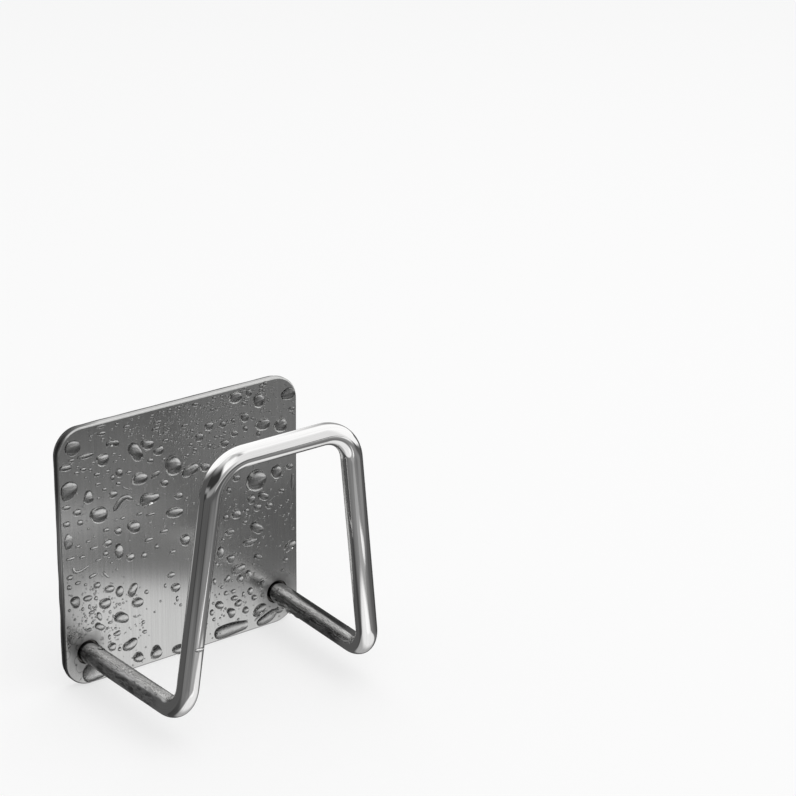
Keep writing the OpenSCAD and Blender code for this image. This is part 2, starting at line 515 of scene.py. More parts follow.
def grain(across, along, detail, seed, coordinates, rough=0.6):
    """Noise drawn out along Z: so many streaks in one unit across it, so many along it."""
    stretch = nodes.new("ShaderNodeMapping")
    stretch.inputs["Scale"].default_value = (across, across, along)
    stretch.inputs["Location"].default_value = (seed, 0, 0)
    join(coordinates, stretch.inputs["Vector"])
    noise = nodes.new("ShaderNodeTexNoise")
    noise.inputs["Scale"].default_value = 1.0
    noise.inputs["Detail"].default_value = detail
    noise.inputs["Roughness"].default_value = rough
    join(stretch.outputs[0], noise.inputs["Vector"])
    return noise.outputs["Fac"]


def darker(shade, losses):
    """The shade under several covers: under each it loses the share that is given."""
    for cover, loss in losses:
        shade = times(shade, maths("MULTIPLY_ADD", cover, -loss, 1.0))
    return shade


def coloured(skin, shade, green=1.0, blue=1.0):
    """The base colour: the shade for red, and these shares of it for green and blue."""
    colour = nodes.new("ShaderNodeCombineColor")
    join(shade, colour.inputs["Red"])
    join(times(shade, green), colour.inputs["Green"])
    join(times(shade, blue), colour.inputs["Blue"])
    join(colour.outputs[0], skin.inputs["Base Color"])


def relief(skin, height, strength, depth):
    """Relief too fine for the mesh: its pattern, how strongly it shades and its depth."""
    bump = nodes.new("ShaderNodeBump")
    bump.inputs["Strength"].default_value = strength
    bump.inputs["Distance"].default_value = depth
    join(height, bump.inputs["Height"])
    join(bump.outputs[0], skin.inputs["Normal"])


def drawn_gloss(skin):
    """Draws highlights out square to the brushing, by the surface coordinates."""
    lie = nodes.new("ShaderNodeTangent")
    lie.direction_type = "UV_MAP"
    lie.uv_map = "surface"
    join(lie.outputs[0], skin.inputs["Tangent"])


brushed, nodes, join = new_material("brushed_plate")
place = own_place()
axes = split_up(place)
steel = new_skin({"Metallic": 1.0, "Anisotropic": 0.92})
fine = grain(7000, 90, 3, 3.1, place)
broad = grain(1500, 18, 2, 7.7, place)
cloud = grain(160, 110, 3, 1.3, place)
rumple = grain(300, 300, 1, 5.7, place)
# Soil near the feet: distance from the nearer foot, broken up by the cloud
foot_dx = maths("SUBTRACT", maths("ABSOLUTE", axes["X"]), foot_x)
foot_dz = maths("SUBTRACT", axes["Z"], leg_z)
foot_distance = maths("SQRT", maths("MULTIPLY_ADD", foot_dz, foot_dz, times(foot_dx, foot_dx)))
ragged = maths("MULTIPLY_ADD", cloud, -6 * mm, foot_distance)
soil = ramp(ragged, -0.5 * mm, 4.5 * mm, 1.0, 0.0)
# Left of the left foot the soil has dried in wrinkles, and painted shade darkens the lower left of the face
crease = ramp(maths("ABSOLUTE", maths("SUBTRACT", rumple, 0.5)), 0.004, 0.030, 1.0, 0.0)
left_of_foot = ramp(axes["X"], -29 * mm, -24 * mm, 1.0, 0.0)
round_foot = ramp(foot_distance, 5 * mm, 11 * mm, 1.0, 0.0)
crease = times(crease, left_of_foot, round_foot)
# Painted shade: the face is darker towards its lower left
film = ramp(axes["X"], -33 * mm, -21 * mm, 1.0, 0.0)
film = times(film, ramp(axes["Z"], -7 * mm, -1 * mm, 1.0, 0.0))
# Painted shade: the cut edge is painted dark grey, except along the top
depth = ramp(axes["Y"], face_y + 0.7 * front_round, face_y + 1.2 * front_round)
cut = times(depth, ramp(axes["Z"], plate_half_h - 3 * mm, plate_half_h - 0.5 * mm, 1.0, 0.0))
shade = maths("MULTIPLY_ADD", fine, 0.14, 0.432)
shade = maths("MULTIPLY_ADD", broad, 0.13, shade)
shade = maths("MULTIPLY_ADD", cloud, 0.03, shade)
shade = darker(shade, ((soil, 0.30), (crease, 0.40), (film, 0.34), (cut, 0.72)))
coloured(steel, shade, 1.0, 0.99)
gloss = maths("MULTIPLY_ADD", fine, 0.07, 0.145)
join(maths("MULTIPLY_ADD", soil, 0.25, gloss), steel.inputs["Roughness"])
relief(steel, fine, 0.25, 0.004 * mm)
drawn_gloss(steel)

plate_patches = [plate_rim()]
for side in (-1, 1):
    plate_patches.append(face_patch(side, face_y, hole_r + hole_break, front_round, False))
    plate_patches.append(face_patch(side, rear_y, hole_r + weld_flare, rear_round, True))
    plate_patches.append(hole_wall(side))
plate = make_piece("brushed_back_plate", plate_patches, brushed, 2e-7)
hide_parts("back_plate")


# Wire cradle
# One length of 5 mm drawn stainless wire, bent cold in four places and polished. Its two
# ends stand in the plate's holes and are welded and ground flush behind.
wire_r = 2.5 * mm
low_x = 25.25 * mm
low_y = -41 * mm
top_x = 17.75 * mm
top_y = -43 * mm
top_z = 35 * mm
low_bend_r = 7 * mm
top_bend_r = 8.5 * mm
leg_spread = 1.25 * mm
leg_run = 38.5 * mm
end_x = foot_x + leg_spread / leg_run * (rear_y - face_y)
wire_corners = np.array([
    (-end_x, rear_y, leg_z), (-low_x, low_y, leg_z), (-top_x, top_y, top_z),
    (top_x, top_y, top_z), (low_x, low_y, leg_z), (end_x, rear_y, leg_z),
])
bend_radii = [0, low_bend_r, top_bend_r, top_bend_r, low_bend_r, 0]


def swing(direction, axle, a):
    """A direction turned round an axle: what lies across it swings by the cosine and the
    sine of the angle, and what lies along it stays."""
    swung = np.cross(axle, direction)
    stays = axle * (axle @ direction)
    return direction * np.cos(a) + swung * np.sin(a) + stays * (1 - np.cos(a))


def bent_line(corners, radii, step):
    """A route through corners, with an arc of its own radius in each.

    An arc starts and ends where it touches the two straight runs. The spoke, a direction
    square to the route, turns with each arc and stays as it is along a run, so it never
    twists. Gives points, headings, spokes and the length so far.
    """
    runs = np.diff(corners, axis=0)
    heads = runs / np.linalg.norm(runs, axis=1)[:, None]
    points, headings, spokes, bend_share = [], [], [], []
    here = corners[0]
    spoke = np.array([0.0, 0.0, 1.0])
    for i in range(1, len(corners)):
        ahead = heads[i - 1]
        last = i == len(corners) - 1
        turn_by = 0 if last else math.acos(np.clip(heads[i - 1] @ heads[i], -1, 1))
        cut = 0 if last else radii[i] * math.tan(turn_by / 2)
        stop = corners[i] - ahead * cut
        reach = np.linalg.norm(stop - here)
        count = max(2, int(reach / step))
        t = np.linspace(0, 1, count, endpoint=last)[:, None]
        points.append(here + (stop - here) * t)
        headings.append(np.repeat(ahead[None], len(t), 0))
        spokes.append(np.repeat(spoke[None], len(t), 0))
        bend_share.append(np.zeros(len(t)))
        if last:
            break
        inward = heads[i] - heads[i - 1]
        inward /= np.linalg.norm(inward)
        centre = corners[i] + inward * radii[i] / math.cos(turn_by / 2)
        out_from = (stop - centre) / radii[i]
        axle = np.cross(out_from, ahead)
        count = max(6, int(radii[i] * turn_by / step * 1.5))
        a = np.linspace(0, turn_by, count, endpoint=False)[:, None]
        points.append(centre + radii[i] * (np.cos(a) * out_from + np.sin(a) * ahead))
        headings.append(np.cos(a) * ahead - np.sin(a) * out_from)
        spokes.append(swing(spoke, axle, a))
        bend_share.append(np.sin(a[:, 0] / turn_by * math.pi) * (1 if i in (1, 4) else 0.9))
        spoke = swing(spoke, axle, turn_by)
        here = centre + radii[i] * (math.cos(turn_by) * out_from + math.sin(turn_by) * ahead)
    points = np.concatenate(points)
    steps = np.linalg.norm(np.diff(points, axis=0), axis=1)
    length = np.concatenate([[0], np.cumsum(steps)])
    return points, np.concatenate(headings), np.concatenate(spokes), length, np.concatenate(bend_share)


wire_line, wire_ahead, wire_spoke, wire_run, wire_bend = bent_line(wire_corners, bend_radii, 0.7 * mm)
wire_across = np.cross(wire_ahead, wire_spoke)
wire_length = wire_run[-1]


def wire_skin(sides):
    """A circle carried along the bent line, its two ends cut in the plate's back face.

    Where the wire is bent, the outside of the bend is a little flatter than round.
    """
    a = np.arange(sides) / sides * 2 * math.pi
    rays = np.cos(a)[None, :, None] * wire_spoke[:, None] + np.sin(a)[None, :, None] * wire_across[:, None]
    curve = np.gradient(wire_ahead, axis=0) / np.maximum(np.gradient(wire_run), 1e-9)[:, None]
    outside = np.clip(-np.einsum("ijk,ik->ij", rays, curve) * 8 * mm, 0, 1)
    radius = wire_r * (1 - 0.035 * outside ** 2 * wire_bend[:, None])
    points = wire_line[:, None] + rays * radius[..., None]
    for end in (0, -1):
        ahead = wire_ahead[end]
        points[end] += ahead * ((rear_y - points[end][:, 1]) / ahead[1])[:, None]
    faces = grid_faces(len(wire_line), sides, True)
    i = faces // sides
    j = faces % sides
    wrapped = np.where((j == 0) & (j.max(1) == sides - 1)[:, None], sides, j)
    chart = np.stack([wrapped / sides, wire_run[i] / wire_length], -1)
    return points, faces, chart


def wire_end(points, end, sides):
    """A flat end: the ring drawn in to its middle, which is one point."""
    ring = points[end]
    middle = ring.mean(0)
    rows = np.stack([ring, middle + (ring - middle) * 0.9, np.repeat(middle[None], sides, 0)])
    faces = grid_faces(3, sides, True, end == 0)
    return rows, faces, np.zeros((len(faces), 4, 2))


polished, nodes, join = new_material("polished_wire")
steel = new_skin({"Metallic": 1.0, "Anisotropic": 0.2})
chart = nodes.new("ShaderNodeUVMap")
chart.uv_map = "surface"
round_share = split_up(chart.outputs[0])["X"]
length_share = split_up(chart.outputs[0])["Y"]
round_angle = times(round_share, 2 * math.pi)
drawn = nodes.new("ShaderNodeCombineXYZ")
join(maths("COSINE", round_angle), drawn.inputs["X"])
join(maths("SINE", round_angle), drawn.inputs["Y"])
join(times(length_share, wire_length / wire_r), drawn.inputs["Z"])
lines = grain(11, 0.06, 3, 2.0, drawn.outputs[0])
scratches = grain(26, 0.30, 3, 6.0, drawn.outputs[0], 0.7)
wear = grain(2.2, 0.7, 4, 5.0, drawn.outputs[0])
smears = grain(3.4, 0.55, 4, 9.0, drawn.outputs[0], 0.6)
dashes = grain(13, 2.0, 2, 13.0, drawn.outputs[0])
blots = grain(2.6, 1.0, 3, 17.0, drawn.outputs[0])
from_middle = maths("ABSOLUTE", maths("SUBTRACT", length_share, 0.5))
from_end = times(maths("SUBTRACT", 0.5, from_middle), wire_length)
on_leg = ramp(from_end, 28 * mm, 34 * mm, 1.0, 0.0)
near_foot = ramp(from_end, 3 * mm, 24 * mm, 1.0, 0.0)
at_foot = ramp(from_end, 1.5 * mm, 4.5 * mm, 1.0, 0.0)
right_leg = ramp(length_share, 0.6, 0.7)
left_leg = ramp(length_share, 0.3, 0.4, 1.0, 0.0)
# Old water has left grey smears on the legs, and dark marks and streaks, the marks off
# their tops. The legs are darker at the plate. Painted shade darkens them off their tops,
# most of all near the plate, and darkens the right leg off its top and on its outer side; a
# painted dark reflection runs along the inner shoulder of the left leg
facing = split_up(nodes.new("ShaderNodeTexCoord").outputs["Normal"])
off_top = ramp(facing["Z"], 0.40, 0.70, 1.0, 0.0)
stain = times(ramp(smears, 0.42, 0.64), on_leg)
# Painted shade: the legs are darker off their tops, more so near the plate
painted_underside_shade = times(maths("MULTIPLY_ADD", near_foot, 0.4, 0.15), off_top, on_leg)
marks = times(ramp(blots, 0.52, 0.56), on_leg, off_top)
short_streaks = times(ramp(dashes, 0.54, 0.59), on_leg)
# Painted reflection: a dark line along the inner shoulder of the left leg
off_shoulder = maths("ABSOLUTE", maths("SUBTRACT", round_share, 0.92))
off_shoulder = maths("MULTIPLY_ADD", wear, 0.02, off_shoulder)
painted_shoulder_reflection = times(ramp(off_shoulder, 0.040, 0.058, 1.0, 0.0), left_leg, on_leg)
# Painted shade: the right leg is darker off its top and on its outer side
right_leg_painted_shade = times(right_leg, off_top, on_leg)
outer_side_painted_shade = times(ramp(facing["X"], -0.38, -0.05), right_leg, on_leg)
shade = maths("MULTIPLY_ADD", lines, 0.20, 0.62)
shade = maths("MULTIPLY_ADD", scratches, 0.16, shade)
shade = maths("MULTIPLY_ADD", wear, 0.04, shade)
shade = darker(shade, (
    (stain, 0.22), (painted_underside_shade, 0.45), (marks, 0.55), (short_streaks, 0.45),
    (painted_shoulder_reflection, 0.75), (right_leg_painted_shade, 0.40), (outer_side_painted_shade, 0.62), (at_foot, 0.30),
))
coloured(steel, shade, 0.995, 0.99)
gloss = maths("MULTIPLY_ADD", lines, 0.04, 0.03)
gloss = maths("MULTIPLY_ADD", wear, 0.03, gloss)
gloss = maths("MULTIPLY_ADD", stain, 0.12, gloss)
join(maths("MULTIPLY_ADD", on_leg, 0.07, gloss), steel.inputs["Roughness"])
relief(steel, lines, 0.2, 0.01 * mm)
drawn_gloss(steel)

wire_sides = 64
skin = wire_skin(wire_sides)
wire = make_piece(
    "bent_wire", [skin, wire_end(skin[0], 0, wire_sides), wire_end(skin[0], -1, wire_sides)],
    polished,
)
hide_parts("wire_cradle")


# Welds
# Two beads of melted steel that fill the flared backs of the wire's holes, ground flush.
# They are dull, heat-stained and hidden by the pad, so the solids' own shape is enough.
bead_metal, nodes, join = new_material("ground_weld")
steel = new_skin({"Metallic": 1.0})
mottle = grain(900, 900, 4, 4.0, own_place())
heat = grain(350, 350, 2, 8.0, own_place())
tint = nodes.new("ShaderNodeMix")
tint.data_type = "RGBA"
tint.inputs[6].default_value = (0.10, 0.10, 0.10, 1)
tint.inputs[7].default_value = (0.22, 0.205, 0.19, 1)
join(heat, tint.inputs["Factor"])
join(tint.outputs[2], steel.inputs["Base Color"])
join(maths("MULTIPLY_ADD", mottle, 0.3, 0.3), steel.inputs["Roughness"])
relief(steel, mottle, 0.6, 0.05 * mm)
for name in ("left_weld", "right_weld"):
    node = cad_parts[name]
    node.data.materials.clear()
    node.data.materials.append(bead_metal)


# Adhesive pad
# A black closed-cell foam carrier, 0.8 mm thick, with a thin film of clear grey acrylic
# adhesive on each side. It is die cut just inside the plate's outline and pressed on.
pad_margin = 0.25 * mm
pad_r = corner_r - pad_margin


def pad_layer(name, node, bulge, waver, seed, material):
    """A die-cut layer: a half-round edge profile carried round the pad's outline.

    The edge stands out by the bulge at mid thickness, and wavers by sums of sines of the
    distance round it, always inwards of the solid's own outline.
    """
    low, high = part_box(node)
    line, direction, length = outline(around)
    s = length / (length[-1] + length[1]) * 2 * math.pi
    rng = np.random.default_rng(seed)
    k = np.arange(3, 40)
    size = rng.normal(size=len(k)) / np.sqrt(k)
    phase = rng.uniform(0, 2 * math.pi, len(k))
    wave = (size[:, None] * np.sin(k[:, None] * s + phase[:, None])).sum(0)
    wave = waver * (wave - wave.max()) / (wave.max() - wave.min())
    t = np.linspace(0, math.pi, 7)
    out_by = bulge * (np.sin(t) - 1)
    y = low.y + (high.y - low.y) * (1 - np.cos(t)) / 2
    offset = pad_r + out_by[:, None] + wave[None, :]
    flat = line[None] + direction[None] * offset[..., None]
    edge = np.stack([flat[..., 0], np.repeat(y[:, None], around, 1), flat[..., 1]], -1)
    shrink = np.array([0.999, 0.8, 0.0])
    front = edge[0][None] * np.array([1, 0, 1]) * shrink[:, None, None] + np.array([0, low.y, 0])
    back = edge[-1][None] * np.array([1, 0, 1]) * shrink[::-1][:, None, None] + np.array([0, high.y, 0])
    points = np.concatenate([front[::-1], edge, back[::-1]])
    faces = grid_faces(len(points), around, True)
    return make_piece(name, [(points, faces, points.reshape(-1, 3)[faces][..., [0, 2]])], material)


foam_black, nodes, join = new_material("black_foam")
foam = new_skin({"Roughness": 0.9})
cells = nodes.new("ShaderNodeTexVoronoi")
cells.inputs["Scale"].default_value = 6500
join(own_place(), cells.inputs["Vector"])
dust = grain(700, 700, 3, 2.0, own_place())
shade = maths("MULTIPLY_ADD", cells.outputs["Distance"], 0.05, 0.03)
coloured(foam, maths("MULTIPLY_ADD", dust, 0.03, shade))
relief(foam, cells.outputs["Distance"], 0.8, 0.06 * mm)

sticky, nodes, join = new_material("clear_grey_adhesive")
film = new_skin({})
orange_peel = grain(420, 420, 3, 6.0, own_place())
specks = grain(2600, 2600, 2, 1.0, own_place())
shade = maths("MULTIPLY_ADD", orange_peel, 0.05, 0.05)
coloured(film, maths("MULTIPLY_ADD", specks, 0.03, shade))
join(maths("MULTIPLY_ADD", specks, 0.25, 0.22), film.inputs["Roughness"])
relief(film, orange_peel, 0.5, 0.08 * mm)

foam_pad = pad_layer("foam_pad", "foam_core", 0.12 * mm, 0.10 * mm, 5, foam_black)
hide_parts("foam_core")
plate_glue = pad_layer("plate_side_film", "plate_film", 0.03 * mm, 0.16 * mm, 6, sticky)
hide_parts("plate_film")
wall_glue = pad_layer("wall_side_film", "wall_film", 0.03 * mm, 0.16 * mm, 7, sticky)
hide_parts("wall_film")


# Water
# The holder is wet. Drops stand on the brushed face where the photo shows them, round or
# pulled down by their weight, with a mist of specks between, and some cling to the wire.
water, nodes, join = new_material("clear_water")
clear = new_skin({
    "Base Color": (1, 1, 1, 1), "Roughness": 0.0, "IOR": 1.333,
    "Specular IOR Level": 0.3, "Transmission Weight": 1.0,
})
relief(clear, grain(500, 500, 1, 4.0, own_place()), 0.25, 0.08 * mm)

# The water's flat underside lies this far inside the metal, in millimetres
water_in = 0.04
# Read off the photo, in millimetres on the plate's face: across, up, half width, half
# height and turn in degrees
large_drops = [
    (-21.2, 31.0, 1.4, .35, 0), (-21, 29.3, 1.1, .5, 0), (-6.3, 28.5, 1.1, .45, 0),
    (-6.9, 27, 1.1, .4, 0), (-25.3, 24.9, 2.3, .6, 0), (-30.6, 23.3, 1.6, .8, 0),
    (-16.8, 18.7, .9, 1.2, 0), (-11.5, 15.9, 2, 1.7, 0), (-18.6, 13.8, 1.1, 1, 0),
    (-30.8, 13.7, 1.1, .7, 0), (-28.1, 11.8, 1.1, .9, 0), (-4.9, 13.1, 1.1, 1, 0),
    (-1.1, 8.9, 1.1, .9, 0), (-8.8, 6.2, 1.3, .45, 0), (-2.3, 5, 2.3, 1.4, -10), (-17.6, 4.4, 1, 1, 0),
    (-13.4, 4.3, 1.8, 1.6, -25), (-20.5, 2.2, 1.2, 1, 0), (-24, 1.9, 1.1, .5, 0),
    (-30.2, .9, 1.2, .5, 0), (-17.5, -.7, 1.2, 1.9, 0), (-9.5, 0, 1.1, .6, 0), (-5.3, 1, 1.1, .6, 0),
    (.4, -2.8, 1.3, 1.5, 0), (-14.6, -3, 1.1, 1.1, 20), (-24.6, -4.9, 1.1, .5, 12),
    (-26.2, -10.2, 1.2, .8, 0), (-20.4, -9.5, 1.3, 1, -15), (-17.7, -10.9, 1, 1.5, 0),
    (-3.7, -10.7, 1.1, .8, 0), (-2.5, -14.3, 1.3, 1.2, 0), (-13, -15.1, 1.6, 1.3, -15),
    (-23.3, -15.6, .6, 1.3, 20), (-18.7, -21.4, 1, .7, 0), (-20.2, -24.4, 1.1, 1.1, 0),
    (-13.2, -29.3, 1.4, 1.4, 0), (-2, -30.6, 1.8, 1.3, 0), (15, 29.6, 1.8, 1.5, 0),
    (18.8, 29.8, .8, 1.1, 0), (21.6, 27.3, 1.6, 1.8, 0), (7.6, 24.2, 1.2, 1.1, 0),
    (4.9, 22.1, 1.1, 1.1, 0), (17.6, 24, 1.1, 1.3, 0), (14.6, 20.6, 1, .8, 0), (11.8, 18.8, 1.2, 1, 0),
    (22.7, 21, 2.1, 1.5, 0), (27.8, 19.6, 1.8, 1.8, 0), (6.3, 14.2, 1.3, 1.2, 0), (15, 9.2, 1.1, .9, 0),
    (20.6, 7.2, 2.9, 2.6, 0), (26.5, 7.9, 1.5, 1.8, 0), (30.3, 8.3, 1, .8, 0), (19.2, 2.6, 1.1, 1.2, 0),
    (14.8, 0, 1.3, 1.4, 0), (20.9, .1, 1.1, 1, 0), (24.3, -.3, 1, .9, 0), (12.9, -4.2, 1.3, .9, 0),
    (18.6, -8.3, 2, 1.1, 0), (10.2, -8.8, 1, 1.5, 0), (15.2, -14.6, 1.9, 1.3, 10),
    (12, -16.3, .7, 1.2, -30), (15.7, -17.3, .9, 1.1, 0), (18.1, -16.9, .9, 1.4, 0),
    (18.6, -21.4, .8, 1.05, 0), (22.2, -20.7, .9, 1.2, 0), (9.7, -22.5, 1.4, 1, -40),
    (14, -21.9, 1.1, .7, 0), (15.1, -23.6, 1.1, .9, 25), (17.2, -26, .9, 1, -25),
]
# These have outlines of their own: across, up, then the half width to the right, to the
# upper right and so on round, eight in all
shaped_drops = [
    (-18.3, 26.3, 1.7, .8, .8, 1, 1.9, .6, .5, 1.6),
    (-21.1, 22.9, 1.7, 1.9, 1.4, 1.8, 1.5, 1.4, 1.7, 1.3),
    (-9.2, 23.7, 1.9, 1.3, 1.1, 1.9, 1.6, 1.1, 1.5, 1.4),
    (-6.4, 21.4, 1.4, 1.7, .9, .9, 1.4, 1.2, 1, 1.5), (-25, 14.6, 1.5, .9, 2.4, .9, 1.6, 1.4, 1.6, 1.3),
    (-22.5, 9.8, 2.3, 2.1, 2, 2.2, 2.4, 2, 2.2, 2.2),
    (-12.4, 22.7, 1.3, 1.8, 2.1, 2.7, 1.4, 1.5, 2.1, 3),
    (-8.9, 10.2, 3.2, 1.1, 1.6, 2.2, 2.8, 2.2, 1.2, 1.2),
    (-29.6, -10.2, 1.3, 1.6, 1.4, 1.4, 1.1, .9, 1.7, 1.6),
    (-21.7, -12.8, 1.7, 1.5, 1.3, 1.5, 1.6, 1.4, 1.6, 1.4),
    (-14.2, -11.6, .9, 1.9, 1.6, 1.2, 1.2, 1.7, 1.7, .9),
    (-17.4, -17.7, 1.7, 1.4, 1.6, 2, 2, 1.4, 1.2, 2.2), (-23.3, -18.2, 1, .8, .9, 1.6, 1.1, .9, 1, 1.6),
    (-15.4, -25.4, 1.8, 2.3, 1.2, 1.6, 1.9, 1.9, 1.1, 1.4),
    (-8.2, -29.4, 1.4, 1.4, 1.9, 1.4, 1.5, 2, 1.7, 1.8),
    (-2.3, 16.9, 2.2, 1.9, 2.8, 2.2, 2.2, 2.4, 2.7, 2.3),
    (2.1, 14.4, 2.4, 2.3, 1.3, 1.6, 2.3, 2, 1.4, 1.5), (-7.3, 15.8, 1.2, 1.3, .7, .6, 1, 1.2, .7, .6),
    (20.6, -5, 1.6, 1.1, 1.7, 2.1, 1.7, 1.3, 1.6, 2.5),
    (22.8, 2.7, 1.1, .8, 1, 1.8, 1.5, 1.3, 1.2, 1.7),
    (30.4, -12.6, 1.6, 1.8, 1.3, 1.3, 1.5, 2.1, .9, .8), (20.9, -12.7, .8, .7, 1, 1, 1.1, 1, .7, 1.8),
    (13, -11, 1.3, .9, .7, 1, 1.1, .9, 1.7, 1.1), (13, -25.4, 1.3, 1.1, 1.2, 1.6, 1, .9, 1.7, 1.2),
    (21.2, -27, 2.1, 1.8, 1.2, 1.3, 1.4, 2.4, 1.2, 1.2),
]
# Flat ones by the plate's edges, with the same columns as the large drops
low_drops = [
    (-28.6, 27.6, 2.1, 1.9, 0), (-30, 17.6, 2.1, 2.4, 0), (-30.6, 5.2, 1.2, 1.9, 0),
    (30, 27, 2, 1.6, 0), (31.2, 4, .5, 2.3, 0), (-24.8, -28.9, 3.5, 3.0, 0),
    (23.6, -29.9, 3.4, 1.4, 20), (27.2, -28.7, 1.2, 1.1, 30),
]
# Across, up, half width and half height
small_drops = [
    (-23.8, 29.3, .5, .35), (-22.7, 29.7, .3, .3), (-24.1, 28.2, .35, .35), (-18.3, 29.7, .3, .3),
    (-17, 30.6, .5, .5), (-14.5, 29.4, .9, .45), (-15, 28.3, .4, .4), (-12.8, 28.3, .35, .35),
    (-13, 27.7, .3, .3), (-11.8, 29.1, .3, .3), (-7.7, 30.4, .5, .5), (-8.2, 29.1, .4, .4),
    (-3, 30.7, .5, .5), (-.5, 30.7, .5, .5), (-29, 24.7, .8, .5), (-18, 23.6, .6, .35),
    (-16.5, 22.7, .45, .45), (-17.7, 21.7, .6, .3), (-4.3, 23.5, .8, .5), (-2.5, 24.2, .35, .35),
    (-4.2, 25.4, .8, .35), (-26.1, 21.8, .8, .6), (-27.8, 21.4, .7, .5), (-24.3, 21.3, .5, .5),
    (-29, 23.8, .5, .3), (-27.5, 22.8, .35, .35), (-23.4, 22.8, .4, .4), (-22.6, 19.7, .9, .6),
    (-22.4, 17.3, .7, .5), (-19.9, 19.8, .6, .5), (-18.6, 17.9, .6, .8), (-14.3, 18.1, .8, .5),
    (-17.1, 16.1, .7, .6), (-20.8, 15.6, .6, .5), (-4.9, 19, .5, .5), (-8.5, 19.6, .9, .7),
    (-27.4, 9.1, .8, .8), (-30.9, 9.6, 1, .8), (-4, 10.1, .2, .2), (-6.8, 12, .3, .3),
    (-22.4, 13.8, .4, .4), (-25.3, 7.1, .35, .35), (-18, 7.2, .4, .4), (-16.3, 7.2, .7, .5),
    (-11.8, 7.1, .8, .5), (-20.7, 5.5, .9, .6), (-28.2, 3.4, .7, .5), (-25.5, 3.9, .6, .4),
    (-9, 4.2, .6, .3), (-5.5, 4.2, .3, .3), (-2.6, 2.2, .5, .4), (-27.2, .5, .9, .5),
    (-21.1, -.3, .7, .8), (-14.6, 1.1, .3, .3), (-7.4, -2.4, .6, .7), (-10.9, -3.6, .8, .9),
    (-23, -1.4, .9, .35), (-30.6, -3.7, .9, .7), (-19.6, -3.1, .4, .4), (-18.2, -5.1, .45, .35),
    (-3.1, -4.9, .9, .6), (-28.6, -5.6, .8, .5), (-30.9, -6.1, .6, .7), (-23.6, -7.6, .9, .9),
    (-26.6, -6.6, .5, .35), (-24, -10.8, .5, .6), (-25.3, -14, .8, .5), (-25.8, -12.4, .4, .6),
    (-27.6, -12.5, .4, .5), (-17.8, -14.1, .4, .4), (-16.8, -14.1, .3, .3), (-10.5, -13.1, .6, .6),
    (-5.3, -13, .4, .6), (-20.8, -21.7, .4, .7), (-18.2, -25.6, .5, .6), (-11.3, -23.2, .7, .5),
    (-11.6, -20.6, .5, .5), (-26.1, -18.2, .7, .5), (-20.4, -18, .7, .4), (-8.4, -18.9, .3, .3),
    (-6.7, -16.6, .3, .3), (-2.1, -17.3, .4, .8), (-1.2, -19.2, .4, .4), (-2.7, -18.4, .3, .3),
    (4, 30.4, .9, .5), (4, 29.2, .4, .4), (9.1, 30.8, .5, .5), (11.3, 30.7, .5, .5),
    (11.3, 29.8, .4, .4), (8.6, 29.1, .4, .4), (8.5, 28.1, .5, .5), (8, 27.7, .35, .35),
    (10, 28, .7, .4), (12.9, 28.5, .4, .4), (12.6, 27.9, .3, .3), (17.7, 31.2, .5, .5),
    (23.4, 31.1, .7, .6), (22.3, 30.7, .6, .6), (17.4, 27.5, .6, .6), (24.2, 27.3, .35, .35),
    (24.2, 26.6, .35, .35), (31.0, 23, 1, .6), (31.5, 21.6, .4, .4), (1, 25.9, .9, .5),
    (.6, 24.6, .6, .3), (2.7, 26.3, .4, .4), (3.1, 26.9, .35, .35), (2.9, 24.2, .5, .5),
    (4.5, 25.5, .4, .4), (11.4, 23.7, .8, .9), (14.3, 23.9, .5, .7), (19.8, 23.2, .5, .5),
    (2.4, 20.8, .7, .5), (3.6, 19.3, .6, .6), (1.5, 18.4, .5, .5), (7.6, 19.2, .5, .7),
    (9.5, 21, .5, .5), (10.8, 20.9, .5, .5), (12, 21.5, .5, .5), (17.7, 21.1, .7, .8),
    (21.4, 18.9, .6, .8), (1, 7.6, .5, .5), (3, 5.9, .35, .35), (1.2, 5.9, .3, .3), (12.8, 6.6, .7, .9),
    (11.8, 4.7, .4, .4), (13, 2.2, .4, .4), (17.7, 4.9, .4, .4), (28, 6.5, .4, .4),
    (26.3, 5.5, .35, .35), (27.9, 2.7, .9, .7), (11.9, -.1, .7, 1), (17.8, .1, .7, .7),
    (29.7, -.4, .5, .5), (25.8, 1.5, .3, .3), (16.8, 1.8, .35, .35), (18.5, -1.5, .4, .4),
    (27.6, -1.3, .5, .5), (26.1, -2.2, .4, .4), (31, -1.7, .4, .4), (17.3, -2.8, .7, .6),
    (22.8, -2.9, .4, .4), (29.9, -4, .4, .4), (28.5, -4, .4, .4), (29.2, -5.3, .5, .3),
    (10.9, -5.6, .5, .5), (12.9, -5.6, .5, .3), (31.3, -8.1, .4, .4), (15.7, -10.5, .4, .4),
    (9.1, -11.7, .5, .7), (23.3, -10.5, .3, .3), (27.4, -11.7, .3, .3), (8.4, -15.9, .5, .9),
    (29, -15.9, .8, .7), (19.6, -14.5, .4, .4), (10.5, -18, .5, .5), (11.6, -19.9, .6, .7),
    (13.7, -20, .8, .6), (19.7, -23.4, .8, .8), (22.2, -23.4, .6, .6), (7.5, -23.8, .6, .9),
    (8.1, -25.8, .5, .5), (9.8, -19.6, .3, .3), (8.6, -19.5, .3, .3), (16.6, -21.6, .4, .7),
    (17.3, -24, .3, .3), (11, -25.7, .3, .3), (9.9, -26, .3, .3), (19.9, -17.2, .3, .6),
    (28.2, -18.6, .5, .5),
]


def ring_shares(rings):
    """How far out each ring lies: the lid's middle and rim, then from the rim to the top."""
    t = np.linspace(0, math.pi / 2, rings + 1)
    return np.concatenate([[0, 1], np.cos(t)])[None, :, None]


def drop_faces(points):
    """Faces for a stack of grids, each closed round its own last direction."""
    many, rows, sides = points.shape[:3]
    faces = grid_faces(rows, sides, True)
    faces = (faces[None] + (np.arange(many) * rows * sides)[:, None, None]).reshape(-1, 4)
    return points, faces, points.reshape(-1, 3)[faces][..., [0, 2]]


